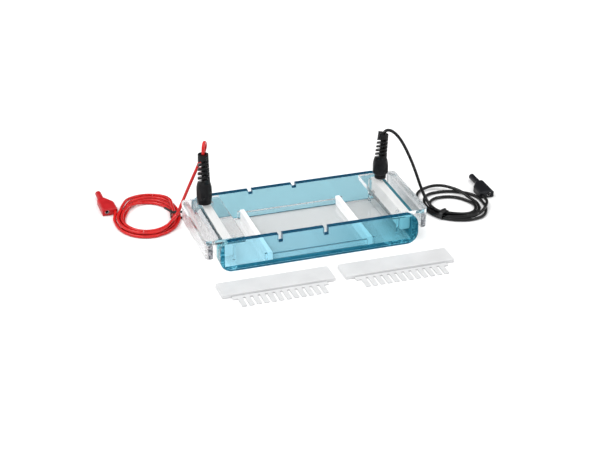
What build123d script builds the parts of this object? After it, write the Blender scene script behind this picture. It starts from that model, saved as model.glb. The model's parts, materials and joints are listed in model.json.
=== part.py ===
from build123d import *
import math
import os

os.makedirs("parts", exist_ok=True)

# Horizontal gel electrophoresis chamber with two lift-off electrode covers,
# two plug-on leads and two well combs that lie in front of it.
# Millimetres.  Origin: centre of the tank's footprint on the bench.
# +X along the tank, towards the black lead; +Y to the back; +Z up.

# ---------------------------------------------------------------- tank
TANK_L = 252.0        # side panel length
TANK_D = 134.0        # over both side panels
TANK_H = 40.0         # side panel height
PANEL_T = 8.0         # side panel thickness
CORNER_R = 15.0       # rounded corners of the side panels
INNER_Y = TANK_D / 2 - PANEL_T          # inner face of a side panel: 59
FLOOR_T = 4.5         # base plate
WALL_T = 7.0          # end wall
WALL_H = 34.0         # end wall height, the covers rest just above it
WALL_IN = TANK_L / 2 - WALL_T           # inner face of an end wall: 119

NOTCH_X = (-51.0, 6.6)                  # comb notches along the tank
NOTCH_W = 5.2
FRONT_NOTCH = 10.0    # depth in the front panel
BACK_NOTCH = 5.0      # and in the back panel

DAM_T = 6.0
LEFT_DAM_X = (-65.5, -59.5)
RIGHT_DAM_X = (62.0, 68.0)
DAM_TOP = 15.5
GROOVE_DEPTH = 1.5
GAP = 0.3             # clearance round every piece that lifts out

RAIL_T = 4.0          # bed rails along the panels
RAIL_TOP = 12.0

# ---------------------------------------------------------------- covers
COVER_IN = 93.0       # inner edge of the cover plate
COVER_OUT = 141.5     # outer face of the hanging flange
COVER_HALF_Y = 58.5
COVER_Z0 = WALL_H + GAP                 # 34.3
COVER_T = 6.0
COVER_TOP = COVER_Z0 + COVER_T          # 40.3
FLANGE_IN = 132.5
FLANGE_Z0 = 15.5
CARRIER_IN = 108.0    # frosted electrode carrier bar
CARRIER_OUT = 118.7
CARRIER_Z0 = 14.0
CARRIER_Y = (-53.0, 52.0)
PIN_X = 115.8         # contact pin, the lead plugs onto it
PIN_Y = 40.0
PIN_R = 2.0
PIN_TOP = 60.0
POST_X = 105.0
POST_R = 2.2
POST_Y = (-48.0, 47.0)
LINK_Z1 = 20.0        # flat contact strip under the pin
WIRE_X = 102.5
WIRE_R = 0.3
WIRE_Z = 10.0

# ---------------------------------------------------------------- leads
CORD_R = 2.0
COLLAR_Z0 = 42.0
COLLAR_TOP = 69.0
RED_RELIEF_L = 38.5
BLACK_RELIEF_L = 34.0 # along its axis, to where the cord comes out
BLACK_LEAN = 5.0      # degrees, the flexible relief leans to +X
BLACK_EXIT = 33.0     # degrees, the cord leaves the leaning relief this far aslant
BLACK_MOUTH = 12.0    # degrees, the relief's top is cut this far aslant
SLOT_AZ = 188.0       # the relief's slots face this way
SLOT_TILT, SLOT_RISE = 20.0, 290.0
GRIP_TURN = 9.0       # turn of the collar's flats

# ---------------------------------------------------------------- combs
TEETH = 12
PITCH = 9.0
TOOTH_W = 6.0
TOOTH_L = 20.0
SHOULDER_V = 18.0     # lower edge of the tooth plate beside the teeth
EAR_V = 24.5          # lower edge of the ears, above the tooth tips
COMB_V = 56.0         # top edge of the handle, above the tooth tips
EAR_U = 20.0          # ear end, out from the first tooth's centre
SHOULDER_U = 9.0
HANDLE_T = 4.6
PLATE_T = 1.6
COMB_A = (-121.3, -151.7)               # first tooth's tip
COMB_B = (29.7, -152.7)


def save(shape, name):
    export_step(shape, "parts/%s.step" % name)
    return shape


def box(x0, x1, y0, y1, z0, z1):
    lo = (min(x0, x1), min(y0, y1), min(z0, z1))
    s = (abs(x1 - x0), abs(y1 - y0), abs(z1 - z0))
    return Pos(lo[0] + s[0] / 2, lo[1] + s[1] / 2, lo[2] + s[2] / 2) * Box(*s)


def cyl_z(x, y, z0, z1, r):
    return Pos(x, y, (z0 + z1) / 2) * Cylinder(r, z1 - z0)


def cyl_y(x, z, y0, y1, r):
    return Pos(x, (y0 + y1) / 2, z) * (Rot(90, 0, 0) * Cylinder(r, y1 - y0))


def group(*solids):
    return Compound(children=list(solids))


# ================================================================= tank
outline = RectangleRounded(TANK_L, TANK_H, CORNER_R)


def panel(y0, y1, depth):
    # the outline lies in XZ and is extruded across the panel's thickness
    p = Plane(origin=(0, y0, TANK_H / 2), x_dir=(1, 0, 0), z_dir=(0, 1, 0))
    s = extrude(p * outline, y1 - y0)
    for x in NOTCH_X:
        s -= box(x - NOTCH_W / 2, x + NOTCH_W / 2, y0 - 1, y1 + 1,
                 TANK_H - depth, TANK_H + 1)
    return s


save(panel(-TANK_D / 2, -INNER_Y, FRONT_NOTCH), "front_side_panel")
save(panel(INNER_Y, TANK_D / 2, BACK_NOTCH), "back_side_panel")

base = box(-WALL_IN, WALL_IN, -INNER_Y, INNER_Y, 0, FLOOR_T)
for xa, xb in (LEFT_DAM_X, RIGHT_DAM_X):
    base -= box(xa - GAP, xb + GAP, -INNER_Y - 1, INNER_Y + 1,
                FLOOR_T - GROOVE_DEPTH, FLOOR_T + 1)
save(base, "base_plate")


def end_wall(side):
    # follows the rounded outline of the side panels at its outer corners
    p = Plane(origin=(0, -INNER_Y, TANK_H / 2), x_dir=(1, 0, 0), z_dir=(0, 1, 0))
    full = extrude(p * outline, 2 * INNER_Y)
    cut = box(side * WALL_IN, side * (WALL_IN + WALL_T + 1), -INNER_Y - 1, INNER_Y + 1,
              -1, WALL_H)
    return full & cut


save(end_wall(-1), "left_end_wall")
save(end_wall(1), "right_end_wall")

rail_x0 = LEFT_DAM_X[1] + GAP
rail_x1 = RIGHT_DAM_X[0] - GAP
save(group(
    box(rail_x0, rail_x1, -INNER_Y, -INNER_Y + RAIL_T, FLOOR_T, RAIL_TOP),
    box(rail_x0, rail_x1, INNER_Y - RAIL_T, INNER_Y, FLOOR_T, RAIL_TOP)), "gel_bed_rails")

guides = []
for x0, x1 in ((LEFT_DAM_X[0] - GAP - 3.0, LEFT_DAM_X[0] - GAP),
               (RIGHT_DAM_X[1] + GAP, RIGHT_DAM_X[1] + GAP + 3.0)):
    for ya, yb in ((-INNER_Y, -INNER_Y + RAIL_T), (INNER_Y - RAIL_T, INNER_Y)):
        guides.append(box(x0, x1, ya, yb, FLOOR_T, RAIL_TOP + 2))
save(group(*guides), "dam_guides")


# ================================================================= dams
def dam(xs):
    s = box(xs[0], xs[1], -INNER_Y + GAP, INNER_Y - GAP,
            FLOOR_T - GROOVE_DEPTH + GAP, DAM_TOP)
    return chamfer(s.edges().filter_by(Axis.Y).group_by(Axis.Z)[-1], 0.8)


save(dam(LEFT_DAM_X), "left_casting_dam")
save(dam(RIGHT_DAM_X), "right_casting_dam")


# ================================================================= covers
def cover(side, name):
    px = side * PIN_X
    # top plate, its outer corners rounded, with the contact pin's hole
    plate = box(side * COVER_IN, side * COVER_OUT, -COVER_HALF_Y, COVER_HALF_Y,
                COVER_Z0, COVER_TOP)
    outer = plate.edges().filter_by(Axis.Z).sort_by(Axis.X)
    outer = outer[-2:] if side > 0 else outer[:2]
    plate = fillet(outer, 6.0)
    plate -= cyl_z(px, PIN_Y, COVER_Z0 - 1, COVER_TOP + 1, PIN_R)
    save(plate, name + "_cover_plate")

    flange = box(side * FLANGE_IN, side * COVER_OUT, -COVER_HALF_Y, COVER_HALF_Y,
                 FLANGE_Z0, COVER_Z0)
    outer = flange.edges().filter_by(Axis.Z).sort_by(Axis.X)
    outer = outer[-2:] if side > 0 else outer[:2]
    flange = fillet(outer, 6.0)
    save(flange, name + "_cover_flange")

    # electrode carrier bar under the plate, just inside the end wall
    link_z0 = LINK_Z1 - 1.0
    carrier = box(side * CARRIER_IN, side * CARRIER_OUT, CARRIER_Y[0], CARRIER_Y[1],
                  CARRIER_Z0, COVER_Z0)
    carrier = fillet(carrier.edges().filter_by(Axis.X).group_by(Axis.Z)[0], 4.0)
    carrier -= cyl_z(px, PIN_Y, LINK_Z1, COVER_Z0 + 1, PIN_R)
    carrier -= box(side * (CARRIER_IN - 1), side * (CARRIER_OUT + 1), PIN_Y - 3.5, PIN_Y + 3.5,
                   link_z0, LINK_Z1)
    save(carrier, name + "_electrode_carrier")

    # flat strip under the pin, through the carrier to the wire
    save(box(side * 101.6, side * CARRIER_OUT, PIN_Y - 3.5, PIN_Y + 3.5, link_z0, LINK_Z1),
         name + "_contact_link")

    save(group(*[cyl_z(side * POST_X, y, 7.5, COVER_Z0, POST_R) for y in POST_Y]),
         name + "_wire_posts")

    wx = side * WIRE_X
    wire = cyl_y(wx, WIRE_Z, POST_Y[0] - 1.5, POST_Y[1] + 1.5, WIRE_R)
    wire += cyl_z(wx, PIN_Y, WIRE_Z, link_z0, WIRE_R)
    save(wire, name + "_electrode_wire")

    pin = cyl_z(px, PIN_Y, LINK_Z1, PIN_TOP, PIN_R)
    pin = chamfer(pin.edges().group_by(Axis.Z)[-1], 0.8)
    save(pin, name + "_contact_pin")


cover(-1, "left")
cover(1, "right")


# ================================================================= leads
def lead_head(side, name, neck_r, relief_l, lean, exit_turn, mouth_turn):
    px = side * PIN_X
    # moulded collar: neck, wide grip body with eight flats, socket bore
    prof = [(0, COLLAR_Z0), (neck_r, COLLAR_Z0), (neck_r + 0.1, 48.0), (9.7, 49.4), (10.1, 51.0),
            (10.1, 59.0), (9.4, 64.0), (8.6, 67.6), (8.1, COLLAR_TOP), (0, COLLAR_TOP)]
    face = make_face(Polyline(*[(r, 0, z) for r, z in prof], close=True))
    collar = revolve(face, Axis.Z)
    collar = collar & (Rot(0, 0, GRIP_TURN) * extrude(RegularPolygon(9.5, 8, major_radius=False),
                                                      100))
    collar = Pos(px, PIN_Y, 0) * collar
    collar -= cyl_z(px, PIN_Y, 40.0, 61.5, 3.0)
    save(collar, name + "_lead_collar")

    # metal contact sleeve in the collar, running fit on the pin
    sleeve = cyl_z(px, PIN_Y, COLLAR_Z0 + 0.4, 61.5, 3.0) - cyl_z(px, PIN_Y, 40.0, 60.8, PIN_R + 0.05)
    save(sleeve, name + "_lead_contact_sleeve")

    # tapered flexible strain relief: aslant slots open to the left, small ones
    # between them on the right, and a thick cap at the top
    top_r, bot_r = 6.6, 7.9
    full_l = relief_l + 7.0 * math.tan(math.radians(mouth_turn))
    cone = Pos(0, 0, full_l / 2) * Cone(bot_r, top_r, full_l)
    # the top face
    mouth = Pos(0, 0, relief_l) * Rot(0, mouth_turn, 0)
    cone -= mouth * (Pos(0, 0, 15) * Box(60, 60, 30))
    n = 5
    step = (relief_l - 9.0) / n
    for i in range(n):
        z = 1.9 + step * (i + 0.5)
        cone -= slot(z, 2.6, 2.8, SLOT_AZ, 210)
        if i < n - 1:
            cone -= slot(z + step / 2, 1.0, 5.2, SLOT_AZ + 180, 150)
    if exit_turn:
        # the hole that the cord leaves by
        cone -= Pos(0, 0, relief_l) * Rot(0, exit_turn, 0) * (Pos(0, 0, 4.2) * Cylinder(CORD_R + 0.02, 10))
    else:
        # a shallow groove in it round the cord
        cone -= mouth * (Cylinder(CORD_R + 1.0, 1.6) - Cylinder(CORD_R + 0.2, 1.6))
    relief = Pos(px, PIN_Y, COLLAR_TOP) * (Rot(0, lean, 0) * cone)
    if lean:
        # the foot of the leaning relief is flat on the collar
        relief = relief & box(px - 20, px + 20, PIN_Y - 20, PIN_Y + 20, COLLAR_TOP, 140)
    save(relief, name + "_lead_strain_relief")


def slot(z, high, core_r, az, span):
    # a ring sector round the Z axis, from the core outwards
    pts = [(0, 0)] + [(14 * math.cos(math.radians(az + span * k / 6)),
                       14 * math.sin(math.radians(az + span * k / 6)))
                      for k in (-3, -2, -1, 0, 1, 2, 3)]
    sector = extrude(make_face(Polyline(*pts, close=True)), high)
    ring = Pos(0, 0, -high / 2) * (sector - Pos(0, 0, high / 2) * Cylinder(core_r, high + 2))
    # aslant: it rises towards the front right
    return Pos(0, 0, z) * Rot(0, 0, SLOT_RISE - 90) * Rot(SLOT_TILT, 0, 0) * Rot(0, 0, 90 - SLOT_RISE) * ring


lead_head(-1, "red", 9.0, RED_RELIEF_L, 0, 0, 0)
lead_head(1, "black", 7.3, BLACK_RELIEF_L, BLACK_LEAN, BLACK_EXIT, BLACK_MOUTH)


def corner_radii(pts):
    v = [Vector(*p) for p in pts]
    out = []
    for a, b, c in zip(v, v[1:], v[2:]):
        turn = (b - a).get_angle(c - b)
        out.append(0.45 * min((b - a).length, (c - b).length) / math.tan(math.radians(turn) / 2))
    return out


def tube(pts, name):
    radii = corner_radii(pts)
    path = FilletPolyline(*pts, radius=radii)
    start = Plane(origin=path @ 0, z_dir=path % 0)
    solid = sweep(start * Circle(CORD_R), path=path)
    print(name, "length %.1f volume %.1f section x length %.1f radii %s" % (
        path.length, solid.volume, path.length * math.pi * CORD_R ** 2,
        [round(r, 1) for r in radii]))
    return save(solid, name)


# the red cord: a tight loop over its relief, down behind the cover to the coil
RED_ROUTE = [
    (-115.8, 40.0, COLLAR_TOP + RED_RELIEF_L),
    (-115.8, 40.0, 115.0),
    (-112.6, 46.4, 120.4),
    (-108.4, 53.4, 116.2),
    (-108.6, 57.2, 105.0),
    (-114.2, 59.8, 90.5),
    (-122.3, 61.6, 71.5),
    (-131.0, 64.5, 50.0),
    (-137.6, 67.5, 32.0),
    (-142.4, 69.0, 19.0),
    (-149.0, 66.4, 12.0),
    (-157.5, 61.2, 7.9),
]
tube(RED_ROUTE, "red_lead_cord")

# the black cord: over the top of its relief and down to the coil beside the tank
lean = math.radians(BLACK_LEAN)
BLACK_TOP = (PIN_X + BLACK_RELIEF_L * math.sin(lean), 40.0,
             COLLAR_TOP + BLACK_RELIEF_L * math.cos(lean))
out_of = math.radians(BLACK_LEAN + BLACK_EXIT)
BLACK_ROUTE = [
    (BLACK_TOP[0] - 0.8 * math.sin(out_of), 40.0, BLACK_TOP[2] - 0.8 * math.cos(out_of)),
    (BLACK_TOP[0] + 4.2 * math.sin(out_of), 40.0, BLACK_TOP[2] + 4.2 * math.cos(out_of)),
    (126.9, 39.3, 106.5),
    (133.2, 37.8, 102.6),
    (142.4, 36.2, 91.0),
    (153.4, 34.2, 67.8),
    (161.4, 31.8, 46.0),
    (167.2, 28.4, 26.5),
    (171.5, 21.0, 12.4),
    (174.2, 11.0, 7.0),
]
tube(BLACK_ROUTE, "black_lead_cord")

# short stretches from the coils into the plugs
RED_TAIL = [(-211.8, 124.0, 4.7), (-211.8, 119.4, 4.7), (-213.9, 114.0, 4.5), (-216.4, 107.4, 3.2)]
BLACK_TAIL = [(251.1, 20.0, 4.7), (251.1, 11.0, 4.7), (249.2, 1.5, 5.0), (245.4, -6.5, 5.6)]
tube(RED_TAIL, "red_lead_tail")
tube(BLACK_TAIL, "black_lead_tail")

# ---- coils: one closed solid each, the outer shape of the wound turns
RED_COIL_H = 8.4
RED_COIL_OUT = [
    (-131.7, 98.9), (-129.9, 115.4), (-131.5, 135.7), (-142.6, 156.2), (-163.5, 166.2), (-186.7, 162.8),
    (-200.6, 145.2), (-204.6, 129.2), (-213.6, 114.2), (-218.4, 98.9), (-218.6, 82.7), (-214.5, 66.0),
    (-202.3, 52.2), (-184.7, 45.0), (-166.0, 46.0), (-150.5, 55.9), (-140.7, 69.8), (-135.0, 84.2)]
RED_COIL_IN = [
    (-145.8, 98.9), (-146.2, 109.5), (-149.3, 120.7), (-156.6, 131.8), (-168.3, 137.8), (-181.3, 135.9),
    (-191.4, 127.5), (-197.4, 117.6), (-201.2, 108.3), (-202.8, 98.9), (-202.8, 88.9), (-200.3, 77.9),
    (-193.9, 67.0), (-182.2, 60.6), (-169.0, 62.4), (-158.8, 70.0), (-152.1, 79.2), (-147.6, 88.8)]
BLACK_COIL_H = 8.4
BLACK_COIL_OUT = [
    (167.2, 18), (170.5, 43), (182, 62), (195, 71), (208.5, 72.5), (220, 66), (231, 53.5),
    (239, 42), (244.5, 30), (247, 17), (247, 3), (241, -18), (228, -34), (212, -39.5),
    (197, -38), (184.5, -27.5), (175.5, -15), (170, -1)]
BLACK_COIL_IN = [
    (179, 22), (183, 31.5), (193, 36), (206, 34), (217, 27), (226, 15), (230.5, 2),
    (226, -10), (214, -17), (201, -16), (190.5, -9.5), (182.5, 2)]


def strap(x, y, turn, w, h):
    # a flat band round the bundle, its width across the turns
    ring = Plane.XZ * (Pos(0, h / 2) * RectangleRounded(w, h, 3.0))
    hole = Plane.XZ * (Pos(0, h / 2) * RectangleRounded(w - 2.0, h - 2.0, 2.2))
    band = extrude(ring, 2.2, both=True) - extrude(hole, 2.2, both=True)
    return Pos(x, y, 0) * (Rot(0, 0, turn) * band)


red_band = strap(-139.9, 89.4, -12, 16.4, 9.8)
black_band = strap(182.1, -14.8, 31, 15.4, 9.4)

coil = extrude(make_face(Spline(*RED_COIL_OUT, periodic=True)), RED_COIL_H)
coil -= extrude(make_face(Spline(*RED_COIL_IN, periodic=True)), RED_COIL_H)
save(coil - red_band, "red_lead_coil")

coil = extrude(make_face(Spline(*BLACK_COIL_OUT, periodic=True)), BLACK_COIL_H)
coil -= extrude(make_face(Spline(*BLACK_COIL_IN, periodic=True)), BLACK_COIL_H)
save(coil - black_band, "black_lead_coil")


# ---- ties: the band round the bundle and its twisted end
def tie(band, x, y, z, turn, length, name):
    end = Pos(x, y, z) * (Rot(0, 0, turn) * Box(length, 2.6, 1.6))
    save(band + end, name)


tie(red_band, -148.6, 98.6, 9.4, 112, 15.0, "red_lead_tie")
tie(black_band, 182.6, -11.0, 9.35, 22, 9.0, "black_lead_tie")


# ---- plugs: shrouded 4 mm plugs that point to +Y, with a stacking socket behind
PLUG_L = 36.0
PLUG_H = 9.4
SLEEVE_END = 58.0
SLEEVE_R = 3.9
SHANK_R = 2.4         # the pin's shank inside the body
WING = 13.2
HALF = 6.2


def plug(x, y, s, name):
    # s = +1: the cord wing is on the +X side
    pts = [(-HALF, 0), (-HALF, 33.5), (-4.4, PLUG_L), (4.4, PLUG_L), (HALF, 33.0),
           (WING - 0.5, 22.5), (WING, 20.5), (WING, 0)]
    pts = [(x + s * a, y + b) for a, b in pts]
    body = extrude(make_face(Polyline(*pts, close=True)), PLUG_H)
    body = chamfer(body.faces().sort_by(Axis.Z)[-1].edges(), 1.6)
    body = chamfer(body.faces().sort_by(Axis.Z)[0].edges(), 1.0)
    zc = PLUG_H / 2
    body -= cyl_y(x, zc, y - 1, y + 20, 3.0)
    body -= cyl_y(x, zc, y + 19, y + PLUG_L + 1, SHANK_R)
    save(body, name + "_plug_body")
    sleeve = cyl_y(x, zc, y + PLUG_L, y + SLEEVE_END, SLEEVE_R) - cyl_y(
        x, zc, y + PLUG_L - 1, y + SLEEVE_END + 1, 3.0)
    sleeve = chamfer(sleeve.edges().group_by(Axis.Y)[-1], 0.35)
    save(sleeve, name + "_plug_sleeve")
    metal = cyl_y(x, zc, y + 19, y + PLUG_L, SHANK_R) + cyl_y(x, zc, y + 2, y + 20, 3.0)
    metal += cyl_y(x, zc, y + PLUG_L - 1, y + SLEEVE_END - 2, PIN_R)
    metal -= cyl_y(x, zc, y, y + 17, PIN_R + 0.05)
    save(metal, name + "_plug_contact")


plug(-221.6, 124.0, 1, "red")
plug(261.0, 20.0, -1, "black")


# ================================================================= combs
def comb(origin, name):
    ox, oy = origin
    span = (TEETH - 1) * PITCH
    handle = box(ox - EAR_U, ox + span + EAR_U, oy + EAR_V, oy + COMB_V, 0, HANDLE_T)
    handle = fillet(handle.edges().filter_by(Axis.Z), 2.2)
    handle = chamfer(handle.faces().sort_by(Axis.Z)[-1].edges(), 0.8)
    # rebate under the handle that takes the tooth plate
    handle -= box(ox - SHOULDER_U, ox + span + SHOULDER_U, oy + EAR_V - 1, oy + 38.0,
                  -1, PLATE_T)
    save(handle, name + "_handle")
    plate = box(ox - SHOULDER_U, ox + span + SHOULDER_U, oy + SHOULDER_V, oy + 38.0,
                0, PLATE_T)
    for i in range(TEETH):
        x = ox + i * PITCH
        tooth = box(x - TOOTH_W / 2, x + TOOTH_W / 2, oy, oy + TOOTH_L, 0, PLATE_T)
        plate += fillet(tooth.edges().filter_by(Axis.Z).group_by(Axis.Y)[0], 1.2)
    for i in range(TEETH - 1):
        x = ox + (i + 0.5) * PITCH
        plate -= box(x - (PITCH - TOOTH_W) / 2, x + (PITCH - TOOTH_W) / 2,
                     oy + SHOULDER_V - 1, oy + TOOTH_L, -1, PLATE_T + 1)
    save(plate, name + "_tooth_plate")


comb(COMB_A, "comb_a")
comb(COMB_B, "comb_b")
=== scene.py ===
import json
import math
import bpy
import bmesh
from mathutils import Matrix, Vector


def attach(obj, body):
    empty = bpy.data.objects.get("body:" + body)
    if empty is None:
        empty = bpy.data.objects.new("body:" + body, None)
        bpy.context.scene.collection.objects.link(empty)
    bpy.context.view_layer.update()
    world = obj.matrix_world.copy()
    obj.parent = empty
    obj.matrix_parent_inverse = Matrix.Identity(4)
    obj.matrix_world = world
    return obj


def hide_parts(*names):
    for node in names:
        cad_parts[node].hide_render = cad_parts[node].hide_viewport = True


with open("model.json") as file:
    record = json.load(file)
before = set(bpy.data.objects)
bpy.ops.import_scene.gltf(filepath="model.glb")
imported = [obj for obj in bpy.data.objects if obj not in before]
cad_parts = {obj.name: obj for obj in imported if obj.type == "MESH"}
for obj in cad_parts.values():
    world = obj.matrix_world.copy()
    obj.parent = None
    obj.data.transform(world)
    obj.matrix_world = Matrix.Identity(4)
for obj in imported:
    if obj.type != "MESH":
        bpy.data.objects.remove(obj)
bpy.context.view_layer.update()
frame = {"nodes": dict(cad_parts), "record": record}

NODES = frame["nodes"]
scene = bpy.context.scene
coll = scene.collection

# ------------------------------------------------------------------ camera
cam_data = bpy.data.cameras.new("view_camera")
cam_data.sensor_width = 36.0
cam_data.lens = 96.0
cam_data.clip_start = 0.05
cam_data.clip_end = 50.0
cam = bpy.data.objects.new("view_camera", cam_data)
coll.objects.link(cam)
CAM_AT = Vector((-0.55866, -1.67753, 0.91781))
CAM_R = Vector((0.94959, -0.31348, 0.0))
CAM_U = Vector((0.14297, 0.43309, 0.88994))
CAM_D = Vector((0.27898, 0.84508, -0.45608))
cam.matrix_world = Matrix((
    (CAM_R.x, CAM_U.x, -CAM_D.x, CAM_AT.x),
    (CAM_R.y, CAM_U.y, -CAM_D.y, CAM_AT.y),
    (CAM_R.z, CAM_U.z, -CAM_D.z, CAM_AT.z),
    (0, 0, 0, 1)))
scene.camera = cam


# --------------------------------------------------------------- materials
def new_mat(name):
    m = bpy.data.materials.new(name)
    m.use_nodes = True
    nt = m.node_tree
    nt.nodes.clear()
    out = nt.nodes.new("ShaderNodeOutputMaterial")
    sh = nt.nodes.new("ShaderNodeBsdfPrincipled")
    nt.links.new(sh.outputs["BSDF"], out.inputs["Surface"])
    return m, nt, sh, out


def noise(nt, scale, detail=3.0, rough=0.5):
    tc = nt.nodes.new("ShaderNodeTexCoord")
    nz = nt.nodes.new("ShaderNodeTexNoise")
    nz.inputs["Scale"].default_value = scale
    nz.inputs["Detail"].default_value = detail
    nz.inputs["Roughness"].default_value = rough
    nt.links.new(tc.outputs["Object"], nz.inputs["Vector"])
    return nz


def ramp(nt, src, p0, c0, p1, c1):
    r = nt.nodes.new("ShaderNodeValToRGB")
    e = r.color_ramp.elements
    e[0].position, e[0].color = p0, c0
    e[1].position, e[1].color = p1, c1
    nt.links.new(src, r.inputs["Fac"])
    return r


def rough_from(nt, sh, src, lo, hi):
    mr = nt.nodes.new("ShaderNodeMapRange")
    mr.inputs["From Min"].default_value = 0.3
    mr.inputs["From Max"].default_value = 0.7
    mr.inputs["To Min"].default_value = lo
    mr.inputs["To Max"].default_value = hi
    nt.links.new(src, mr.inputs["Value"])
    nt.links.new(mr.outputs["Result"], sh.inputs["Roughness"])


def bump_from(nt, sh, src, strength, dist):
    b = nt.nodes.new("ShaderNodeBump")
    b.inputs["Strength"].default_value = strength
    b.inputs["Distance"].default_value = dist
    nt.links.new(src, b.inputs["Height"])
    nt.links.new(b.outputs["Normal"], sh.inputs["Normal"])
    return b


def acrylic(name, tint, shade, far=None, lo=0.0, hi=0.02, wave=0.02, cut=0.0, gleam=None, vein=None,
            through=1.0):
    """cast acrylic: polished and see-through; lamp and bounced light go through it
    with little loss. far: its colour further along an axis, blended in from one side
    of the piece to the other (painted light on the front panel, painted shade on the
    tank floor). cut: depth of saw marks on a cut face.
    gleam: colour of what it mirrors. vein: colour of the bright chips in a cut face.
    through: share of the light that a sawn face lets pass"""
    m, nt, sh, out = new_mat(name)
    path = nt.nodes.new("ShaderNodeLightPath")
    either = nt.nodes.new("ShaderNodeMath")
    either.operation = "MAXIMUM"
    nt.links.new(path.outputs["Is Shadow Ray"], either.inputs[0])
    nt.links.new(path.outputs["Is Diffuse Ray"], either.inputs[1])
    clear = nt.nodes.new("ShaderNodeBsdfTransparent")
    clear.inputs["Color"].default_value = shade + (1,)
    mix = nt.nodes.new("ShaderNodeMixShader")
    nt.links.new(either.outputs["Value"], mix.inputs["Fac"])
    nt.links.new(sh.outputs["BSDF"], mix.inputs[1])
    nt.links.new(clear.outputs["BSDF"], mix.inputs[2])
    nt.links.new(mix.outputs["Shader"], out.inputs["Surface"])
    sh.inputs["Transmission Weight"].default_value = through
    sh.inputs["IOR"].default_value = 1.49
    fine = noise(nt, 900.0, 4.0, 0.6)
    wide = noise(nt, 22.0, 2.0)
    if vein:
        grit = noise(nt, 330.0, 3.0, 0.75)
        c = ramp(nt, grit.outputs["Fac"], 0.47, tint + (1,), 0.63, vein + (1,))
    else:
        c = ramp(nt, wide.outputs["Fac"], 0.3, tuple(0.985 * v for v in tint) + (1,), 0.7, tint + (1,))
    if far:
        axis, start, end, far_tint = far
        tc = nt.nodes.new("ShaderNodeTexCoord")
        sx = nt.nodes.new("ShaderNodeSeparateXYZ")
        nt.links.new(tc.outputs["Object"], sx.inputs["Vector"])
        mr = nt.nodes.new("ShaderNodeMapRange")
        mr.inputs["From Min"].default_value = start
        mr.inputs["From Max"].default_value = end
        nt.links.new(sx.outputs[axis], mr.inputs["Value"])
        both = nt.nodes.new("ShaderNodeMix")
        both.data_type = "RGBA"
        nt.links.new(mr.outputs["Result"], both.inputs[0])
        nt.links.new(c.outputs["Color"], both.inputs[6])
        both.inputs[7].default_value = far_tint + (1,)
        nt.links.new(both.outputs[2], sh.inputs["Base Color"])
    else:
        nt.links.new(c.outputs["Color"], sh.inputs["Base Color"])
    rough_from(nt, sh, fine.outputs["Fac"], lo, hi)
    if gleam:
        sh.inputs["Specular Tint"].default_value = gleam + (1,)
    if cut:
        chips = noise(nt, 420.0, 2.0, 0.7)
        bump_from(nt, sh, chips.outputs["Fac"], 1.0, cut)
    else:
        bump_from(nt, sh, wide.outputs["Fac"], wave, 0.001)
    return m


def solid(name, dark, light, lo, hi, scale=60.0, grain=1400.0, bump=0.12, dist=0.0002,
          coat=0.0, sss=0.0, metal=0.0, spec=0.5, trans=0.0):
    """moulded or drawn material: colour drifts, fine grain, uneven gloss"""
    m, nt, sh, out = new_mat(name)
    wide = noise(nt, scale, 4.0, 0.55)
    fine = noise(nt, grain, 3.0, 0.6)
    c = ramp(nt, wide.outputs["Fac"], 0.32, dark + (1,), 0.68, light + (1,))
    nt.links.new(c.outputs["Color"], sh.inputs["Base Color"])
    rough_from(nt, sh, wide.outputs["Fac"], lo, hi)
    bump_from(nt, sh, fine.outputs["Fac"], bump, dist)
    sh.inputs["Coat Weight"].default_value = coat
    sh.inputs["Coat Roughness"].default_value = 0.12
    sh.inputs["Subsurface Weight"].default_value = sss
    sh.inputs["Subsurface Radius"].default_value = (0.003, 0.003, 0.003)
    sh.inputs["Metallic"].default_value = metal
    sh.inputs["Specular IOR Level"].default_value = spec
    sh.inputs["Transmission Weight"].default_value = trans
    return m


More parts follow.
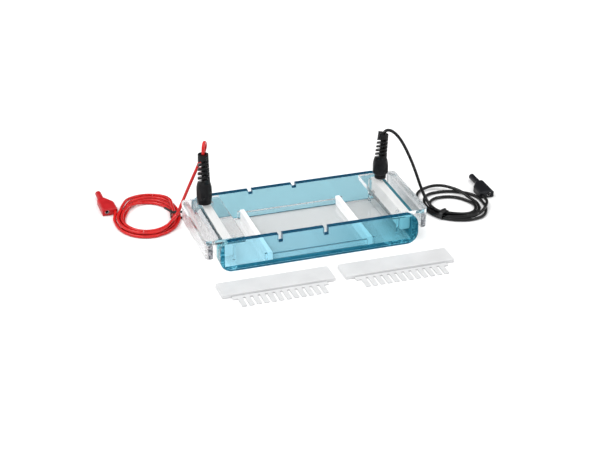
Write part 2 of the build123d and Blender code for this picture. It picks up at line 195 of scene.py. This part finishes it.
TEAL_GLEAM = (0.12, 0.72, 0.85)
M = {
    # front panel: teal acrylic painted lighter than the back panel towards its left end, painted light
    # for the brighter inside seen through it; it darkens to near the back panel's tint towards the
    # right end
    "teal_front_painted_light": acrylic("front_teal_acrylic_painted_light", (0.41, 0.76, 0.91), (0.97, 0.985, 0.99),
                          far=("X", -0.02, 0.10, (0.19, 0.53, 0.66)), gleam=TEAL_GLEAM),
    "teal_back": acrylic("back_teal_acrylic", (0.27, 0.49, 0.565), (0.97, 0.985, 0.99),
                         gleam=TEAL_GLEAM),
    "teal_wall": solid("end_wall_acrylic", (0.004, 0.19, 0.26), (0.012, 0.25, 0.33), 0.12, 0.3,
                       scale=30.0, bump=0.1, trans=0.3, spec=0.4),
    "left_wall": acrylic("left_end_wall_acrylic", (0.004, 0.20, 0.28), (0.985, 0.985, 0.985),
                         far=("Y", -0.052, -0.046, (0.96, 0.965, 0.97))),
    "teal_edge": acrylic("teal_acrylic_edge", (0.001, 0.062, 0.128), (0.97, 0.985, 0.99),
                         gleam=(0.05, 0.55, 0.70), through=0.4),
    "teal_end": acrylic("teal_acrylic_cut_end", (0.003, 0.15, 0.22), (0.97, 0.985, 0.99),
                        lo=0.02, hi=0.14, cut=0.0011, gleam=TEAL_GLEAM, vein=(0.50, 0.93, 1.0),
                        through=0.5),
    "clear": acrylic("clear_cast_acrylic", (0.97, 0.975, 0.98), (0.985, 0.985, 0.985)),
    "flange": acrylic("clear_flange_acrylic", (0.95, 0.955, 0.96), (0.985, 0.985, 0.985),
                      lo=0.18, hi=0.38),
    # the clear flange's cut ends: dark grey is painted shade for the dark seen along the clear bar; the
    # bright chips are the sawn face's own
    "flange_end_painted_shade": acrylic("clear_acrylic_cut_end_painted_shade", (0.045, 0.055, 0.07), (0.985, 0.985, 0.985),
                          lo=0.02, hi=0.12, cut=0.0012, vein=(0.62, 0.64, 0.68), through=0.5),
    # tank floor: white near the left end; its grey far tint beyond the left dam is painted shade
    "floor": acrylic("tank_floor_acrylic_painted_shade", (0.97, 0.97, 0.97), (0.99, 0.99, 0.99),
                     far=("X", -0.064, -0.060, (0.68, 0.70, 0.705))),
    "seam": solid("weld_seam", (0.004, 0.11, 0.17), (0.010, 0.15, 0.22), 0.2, 0.4, scale=60.0,
                  spec=0.3),
    "seam_end": acrylic("weld_seam_bubbles", (0.003, 0.14, 0.22), (0.97, 0.985, 0.99),
                        lo=0.05, hi=0.2, cut=0.0008, vein=(0.60, 0.96, 1.0), through=0.3),
    "frost": solid("frosted_acrylic", (0.90, 0.91, 0.90), (0.96, 0.96, 0.955), 0.42, 0.55,
                   trans=0.12, sss=0.0, bump=0.2),
    "dam": solid("white_dam", (0.88, 0.885, 0.89), (0.93, 0.93, 0.93), 0.34, 0.46,
                 scale=35.0, bump=0.08, sss=0.1),
    "white": solid("white_plastic", (0.585, 0.59, 0.595), (0.64, 0.645, 0.65), 0.34, 0.46,
                   scale=35.0, bump=0.08, sss=0.15),
    "nickel": solid("plated_contact", (0.50, 0.50, 0.51), (0.66, 0.66, 0.665), 0.18, 0.34, metal=1.0),
    "wire": solid("electrode_wire", (0.6, 0.6, 0.61), (0.78, 0.78, 0.79), 0.15, 0.28, metal=1.0),
    "rubber": solid("black_boot_rubber", (0.002, 0.002, 0.0025), (0.006, 0.006, 0.007), 0.26, 0.40,
                    scale=140.0, bump=0.25, spec=0.2),
    "red_cord": solid("red_cord_sheath", (0.48, 0.005, 0.005), (0.62, 0.010, 0.009), 0.10, 0.17,
                      scale=90.0, bump=0.06, coat=0.0, spec=0.4),
    "red_body": solid("red_plug_plastic", (0.40, 0.005, 0.008), (0.50, 0.010, 0.014), 0.34, 0.5,
                      scale=90.0, bump=0.2, spec=0.3),
    "black_cord": solid("black_cord_sheath", (0.002, 0.002, 0.002), (0.004, 0.004, 0.0045), 0.09, 0.15,
                        scale=90.0, bump=0.06, coat=0.0, spec=0.27),
    "black_body": solid("black_plug_plastic", (0.003, 0.0035, 0.005), (0.007, 0.008, 0.011), 0.28, 0.42,
                        scale=90.0, bump=0.2, spec=0.2),
    "tie": solid("twist_tie", (0.006, 0.006, 0.006), (0.018, 0.018, 0.019), 0.34, 0.5, bump=0.3),
}


# ------------------------------------------------------------------- cords
def mm(p):
    return Vector((p[0] / 1000.0, p[1] / 1000.0, p[2] / 1000.0))


def cord_curve(name, pts, radius, mat):
    cu = bpy.data.curves.new(name, "CURVE")
    cu.dimensions = "3D"
    sp = cu.splines.new("NURBS")
    sp.points.add(len(pts) - 1)
    for p, q in zip(sp.points, pts):
        v = mm(q)
        p.co = (v.x, v.y, v.z, 1.0)
    sp.order_u = 3
    sp.use_endpoint_u = True
    sp.resolution_u = 8
    cu.bevel_depth = radius
    cu.bevel_resolution = 5
    cu.use_fill_caps = True
    cu.materials.append(mat)
    ob = bpy.data.objects.new(name, cu)
    coll.objects.link(ob)
    return ob


RED_ROUTE = [
    (-115.8, 40.0, 107.5), (-115.8, 40.0, 115.0), (-112.6, 46.4, 120.4), (-108.4, 53.4, 116.2),
    (-108.6, 57.2, 105.0), (-114.2, 59.8, 90.5), (-122.3, 61.6, 71.5), (-131.0, 64.5, 50.0),
    (-137.6, 67.5, 32.0), (-142.4, 69.0, 19.0), (-149.0, 66.4, 12.0)]
RED_TAIL = [(-216.4, 107.4, 3.2), (-213.9, 114.0, 4.5), (-211.8, 119.4, 4.7), (-211.8, 124.0, 4.7)]


def ease(t):
    t = min(1.0, max(0.0, t))
    return t * t * (3 - 2 * t)


def red_turns():
    """four turns and a bit: two layers where the tie holds them, fanned out flat
    at the back; each turn takes the next place in the bundle"""
    places = [(2.2, 6.05), (-2.3, 6.05), (-4.3, 2.02), (0.0, 2.02), (4.3, 2.02)]
    fan = [18.5, -4.6, 3.2, 11.0]
    cx, cy, a, b, tilt = -175.3, 98.9, 36.6, 48.4, math.radians(-13)
    out = []
    for i in range(70):
        phi = -62.0 - 22.5 * i
        k = 0
        while k < 4 and phi < -345 - 360 * k:
            k += 1
        u = -phi - 360 * k
        th = math.radians(phi)
        o, h = places[k]
        if k < 4 and u > 200:
            e = ease((u - 202) / 52.0)
            f = ease((u - 282) / 58.0)
            o = o * (1 - e) + fan[k] * e
            if k < 2:
                g = ease((e - (0.5, 0.72)[k]) / (0.5, 0.28)[k])
                h = h * (1 - g) + 2.02 * g
            if f > 0:
                g = ease(f * 3.6)
                o = fan[k] * (1 - f) + places[k + 1][0] * f
                h = 2.02 * (1 - g) + places[k + 1][1] * g
            o += 0.5 * math.sin(math.radians(3 * u + 97 * k)) * e * (1 - f)
        if u < 200:
            o *= 1 + 0.22 * (0.5 - 0.5 * math.cos(th))
        if k < 4 and 155 < u < 260:
            o -= 3.4 * math.sin(math.radians((u - 155) / 105 * 180)) ** 2 * (1.0 if k == 0 else 0.7)
        n = Vector((math.cos(th) / a, math.sin(th) / b)).normalized()
        x, y = a * math.cos(th) + n.x * o, b * math.sin(th) + n.y * o
        out.append((cx + x * math.cos(tilt) - y * math.sin(tilt),
                    cy + x * math.sin(tilt) + y * math.cos(tilt), h))
    return out


BLACK_ROUTE = [
    (118.271, 40.0, 102.24), (121.349, 40.0, 106.18), (126.9, 39.3, 106.5), (133.2, 37.8, 102.6),
    (142.4, 36.2, 91.0), (153.4, 34.2, 67.8), (161.4, 31.8, 46.0), (167.2, 28.4, 26.5),
    (171.5, 21.0, 12.4)]
BLACK_TAIL = [(248.8, -0.5, 6.0), (251.1, 11.0, 4.7), (251.1, 20.0, 4.7)]


def black_turns():
    """three and a half loose turns, gathered at the tie and fanned at the back:
    distance from the coil's centre and height, every 30 degrees from the left side"""
    rho = [34.0, 33.4, 30.0, 27.2, 28.4, 27.0, 25.0, 22.6, 25.6, 29.2, 34.4, 34.6,
           31.6, 31.0, 31.4, 31.6, 33.4, 31.8, 30.4, 29.6, 39.5, 62.0, 64.0, 48.5,
           40.6, 40.1, 40.0, 42.6, 45.6, 40.6, 38.4, 42.6, 43.2, 45.6, 49.2, 41.2,
           36.1, 35.4, 35.5, 37.0, 39.6, 39.4]
    z = [6.05, 6.05, 6.05, 3.2, 2.02, 2.02, 2.02, 2.02, 2.02, 2.02, 2.02, 2.02,
         2.02, 2.02, 2.02, 2.02, 2.02, 2.02, 2.02, 3.2, 6.4, 5.2, 2.1, 2.02,
         2.02, 2.02, 2.02, 2.02, 2.02, 2.02, 2.02, 2.02, 2.02, 2.02, 2.02, 2.02,
         2.02, 2.02, 2.02, 2.02, 4.6, 6.1]
    out = []
    for i, (r, h) in enumerate(zip(rho, z)):
        t = math.radians(180 + 30 * i)
        out.append((208 + r * math.cos(t), 8 + r * math.sin(t), h))
    return out


red_cord = cord_curve("red_lead_cable", RED_ROUTE + red_turns() + RED_TAIL, 0.002, M["red_cord"])
black_cord = cord_curve("black_lead_cable", BLACK_ROUTE + black_turns() + BLACK_TAIL, 0.002,
                        M["black_cord"])


# ----------------------------------------------------------- mesh utilities
def add_obj(name, me, mat, body=None, replaces=()):
    me.materials.clear()
    me.materials.append(mat)
    ob = bpy.data.objects.new(name, me)
    coll.objects.link(ob)
    if body:
        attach(ob, body)
    if replaces:
        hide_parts(*replaces)
    return ob


def smooth(me, angle=26.0):
    me.polygons.foreach_set("use_smooth", [True] * len(me.polygons))
    me.set_sharp_from_angle(angle=math.radians(angle))


def bake(ob):
    """puts the result of the object's modifiers into its mesh"""
    dg = bpy.context.evaluated_depsgraph_get()
    me = bpy.data.meshes.new_from_object(ob.evaluated_get(dg))
    ob.modifiers.clear()
    old = ob.data
    ob.data = me
    bpy.data.meshes.remove(old)
    return ob


def bevelled(ob, width, segs=2, angle=35.0):
    b = ob.modifiers.new("edge", "BEVEL")
    b.width = width
    b.segments = segs
    b.limit_method = "ANGLE"
    b.angle_limit = math.radians(angle)
    b.use_clamp_overlap = True
    bake(ob)
    smooth(ob.data)
    w = ob.modifiers.new("normals", "WEIGHTED_NORMAL")
    w.keep_sharp = True
    bake(ob)
    return ob


def body_of(node):
    for b, names in frame["record"]["behaviour"]["bodies"].items():
        if node in names:
            return b
    raise KeyError(node)


def clean_copy(node):
    """the node's shape as a welded mesh with whole flat faces"""
    src = NODES[node].data
    bm = bmesh.new()
    vs = [bm.verts.new(v.co) for v in src.vertices]
    bm.verts.ensure_lookup_table()
    for p in src.polygons:
        try:
            bm.faces.new([vs[i] for i in p.vertices])
        except ValueError:
            pass
    bmesh.ops.remove_doubles(bm, verts=bm.verts, dist=2e-6)
    bmesh.ops.dissolve_limit(bm, angle_limit=math.radians(0.6), verts=bm.verts, edges=bm.edges)
    me = bpy.data.meshes.new(node + "_shape")
    bm.to_mesh(me)
    bm.free()
    return me


def refine(node, mat, width=0.0004, inset=(0.0, 0.0, 0.0), segs=2, angle=35.0):
    """the node again with broken edges; inset keeps glued faces a hair apart"""
    me = clean_copy(node)
    co = [v.co.copy() for v in me.vertices]
    lo = Vector([min(c[i] for c in co) for i in range(3)])
    hi = Vector([max(c[i] for c in co) for i in range(3)])
    mid = (lo + hi) / 2
    for v in me.vertices:
        for i in range(3):
            half = (hi[i] - lo[i]) / 2
            if half > 0 and inset[i]:
                v.co[i] = mid[i] + (v.co[i] - mid[i]) * (half - inset[i]) / half
    ob = add_obj(node + "_piece", me, mat, body_of(node), (node,))
    return bevelled(ob, width, segs, angle)


def by_side(ob, face_axis, edge, end, end_axis, least=0.3):
    """the polished faces keep their material; the edges between them get edge,
    and those that face along end_axis get end"""
    ob.data.materials.append(edge)
    ob.data.materials.append(end)
    for p in ob.data.polygons:
        if abs(p.normal[face_axis]) > 0.9:
            p.material_index = 0
        elif abs(p.normal[end_axis]) > least:
            p.material_index = 2
        elif abs(p.normal[face_axis]) < 0.25:
            p.material_index = 1


# ------------------------------------------------------------ acrylic tank
PANEL_HALF = 0.11
for n, mat in (("front_side_panel", M["teal_front_painted_light"]), ("back_side_panel", M["teal_back"])):
    ob = refine(n, mat, 0.0005)
    by_side(ob, 1, M["teal_edge"], M["teal_end"], 0)
    for p in ob.data.polygons:
        # the notches' sides are edges, too
        if p.material_index == 2 and abs(p.center.x) < PANEL_HALF:
            p.material_index = 1
HAIR = 0.00006
# the floor plate's grey middle is painted shade
refine("base_plate", M["floor"], 0.0003, (HAIR, 0.0004, HAIR))
for n, mat in (("left_end_wall", M["left_wall"]), ("right_end_wall", M["teal_wall"])):
    ob = refine(n, mat, 0.0003, (HAIR, HAIR, HAIR))
    by_side(ob, 0, mat, M["teal_end"], 1, 0.9)
refine("gel_bed_rails", M["clear"], 0.0003, (0, HAIR, HAIR))
refine("dam_guides", M["clear"], 0.0003, (0, HAIR, HAIR))
for n in ("left_casting_dam", "right_casting_dam"):
    refine(n, M["dam"], 0.0004)


def strip(name, lo, hi, mat, body, bevel=0.0001):
    """a thin bead of cement with broken edges"""
    bm = bmesh.new()
    bmesh.ops.create_cube(bm, size=1.0)
    for v in bm.verts:
        v.co = Vector([(lo[i] + hi[i]) / 2000 + v.co[i] * (hi[i] - lo[i]) / 1000 for i in range(3)])
    bmesh.ops.bevel(bm, geom=list(bm.edges), offset=bevel, segments=2, affect="EDGES", profile=0.5)
    me = bpy.data.meshes.new(name)
    bm.to_mesh(me)
    bm.free()
    smooth(me)
    return add_obj(name, me, mat, body)


# the dark cement seam along each long edge of the base plate, bubbly at the ends in front
for name, x0, x1, mat in (("front_weld_seam", -104.0, 84.0, "seam"),
                          ("front_left_weld_bubbles", -118.0, -104.0, "seam_end"),
                          ("front_right_weld_bubbles", 84.0, 118.0, "seam_end")):
    strip(name, (x0, -58.98, 0.3), (x1, -58.68, 4.9), M[mat], "tank")
strip("back_weld_seam", (-118.0, 58.68, 0.3), (118.0, 58.98, 4.9), M["seam"], "tank")

# ------------------------------------------------------------------ covers
for s in ("left", "right"):
    refine(s + "_cover_plate", M["clear"], 0.0006)
    ob = refine(s + "_cover_flange", M["flange"], 0.0005, (HAIR, HAIR, HAIR))
    # the flange's end faces get the dark painted shade
    by_side(ob, 0, M["flange"], M["flange_end_painted_shade"], 1, 0.9)
    refine(s + "_electrode_carrier", M["frost"], 0.0004, (0, 0, HAIR))
    refine(s + "_contact_link", M["nickel"], 0.0001, (0, 0, HAIR))
    refine(s + "_wire_posts", M["clear"], 0.0003, (0, 0, HAIR))
    refine(s + "_electrode_wire", M["wire"], 0.00005)
    refine(s + "_contact_pin", M["nickel"], 0.0002)

# ------------------------------------------------------------- lead heads
for s in ("red", "black"):
    refine(s + "_lead_collar", M["rubber"], 0.0005)
    refine(s + "_lead_contact_sleeve", M["nickel"], 0.0001)
    refine(s + "_lead_strain_relief", M["rubber"], 0.0003)

# ------------------------------------------------------------------- plugs
for s, mat in (("red", M["red_body"]), ("black", M["black_body"])):
    refine(s + "_plug_body", mat, 0.0008, segs=3)
    refine(s + "_plug_sleeve", mat, 0.0003)
    refine(s + "_plug_contact", M["nickel"], 0.0003)
    refine(s + "_lead_tie", M["tie"], 0.0002)

# ------------------------------------------------------------------- combs
for s in ("comb_a", "comb_b"):
    refine(s + "_handle", M["white"], 0.0005)
    refine(s + "_tooth_plate", M["white"], 0.0003)

# -------------------------------------------------------- cords: parented to their leads, CAD cords hidden
for ob, body, first, length, plug in (
        (red_cord, "red_lead", RED_ROUTE[0], 1.355, "red"),
        (black_cord, "black_lead", BLACK_ROUTE[0], 0.948, "black")):
    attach(ob, body)
    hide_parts(plug + "_lead_cord", plug + "_lead_coil", plug + "_lead_tail")

# -------------------------------------------------------- floor and light
bm = bmesh.new()
bmesh.ops.create_grid(bm, x_segments=8, y_segments=8, size=8.0)
me = bpy.data.meshes.new("bench")
bm.to_mesh(me)
bm.free()
fm, nt, sh, out = new_mat("pale_bench")
nz = noise(nt, 1.5, 2.0)
c = ramp(nt, nz.outputs["Fac"], 0.3, (0.90, 0.90, 0.90, 1), 0.7, (0.92, 0.92, 0.92, 1))
nt.links.new(c.outputs["Color"], sh.inputs["Base Color"])
sh.inputs["Roughness"].default_value = 0.9
sh.inputs["Specular IOR Level"].default_value = 0.1
floor = add_obj("bench", me, fm)
floor.location = (0, 0, -0.00025)

world = bpy.data.worlds.new("studio")
scene.world = world
world.use_nodes = True
wn = world.node_tree
wn.nodes.clear()
wo = wn.nodes.new("ShaderNodeOutputWorld")
bg = wn.nodes.new("ShaderNodeBackground")
tc = wn.nodes.new("ShaderNodeTexCoord")
sx = wn.nodes.new("ShaderNodeSeparateXYZ")
rp = wn.nodes.new("ShaderNodeValToRGB")
wn.links.new(tc.outputs["Generated"], sx.inputs["Vector"])
wn.links.new(sx.outputs["Z"], rp.inputs["Fac"])
els = rp.color_ramp.elements
els[0].position, els[0].color = 0.0, (0.45, 0.46, 0.47, 1)
els[1].position, els[1].color = 0.75, (1.15, 1.15, 1.15, 1)
e = els.new(0.22)
e.color = (0.62, 0.63, 0.64, 1)
e = els.new(0.42)
e.color = (1.0, 1.0, 1.0, 1)
dot = wn.nodes.new("ShaderNodeVectorMath")
dot.operation = "DOT_PRODUCT"
dot.inputs[1].default_value = (0.279, 0.845, 0.456)
wn.links.new(tc.outputs["Generated"], dot.inputs[0])
card = wn.nodes.new("ShaderNodeMapRange")
card.interpolation_type = "SMOOTHSTEP"
card.inputs["From Min"].default_value = 0.72
card.inputs["From Max"].default_value = 0.90
card.inputs["To Min"].default_value = 1.0
card.inputs["To Max"].default_value = 0.12
wn.links.new(dot.outputs["Value"], card.inputs["Value"])
dim = wn.nodes.new("ShaderNodeVectorMath")
dim.operation = "SCALE"
wn.links.new(rp.outputs["Color"], dim.inputs[0])
wn.links.new(card.outputs["Result"], dim.inputs["Scale"])
wn.links.new(dim.outputs["Vector"], bg.inputs["Color"])
bg.inputs["Strength"].default_value = 1.14
wn.links.new(bg.outputs["Background"], wo.inputs["Surface"])


def area(name, at, to, size, power):
    l = bpy.data.lights.new(name, "AREA")
    l.shape = "RECTANGLE"
    l.size, l.size_y = size
    l.energy = power
    o = bpy.data.objects.new(name, l)
    coll.objects.link(o)
    o.location = at
    o.rotation_euler = (Vector(to) - Vector(at)).to_track_quat("-Z", "Y").to_euler()
    return o


area("key", (-1.2, 0.5, 1.9), (0, 0, 0), (1.2, 1.0), 14.0)
area("fill", (1.6, -1.4, 1.6), (0, 0, 0), (1.4, 1.0), 7.0)
area("glint_left", (-1.0, -0.9, 1.5), (0, 0, 0), (0.10, 0.10), 3.2)
area("glint_right", (0.9, 0.7, 1.5), (0, 0, 0), (0.10, 0.10), 2.6)
scene.view_settings.view_transform = "Standard"
scene.view_settings.look = "None"
scene.cycles.glossy_bounces = 32
scene.cycles.transmission_bounces = 32
scene.cycles.max_bounces = 40
scene.cycles.transparent_max_bounces = 24
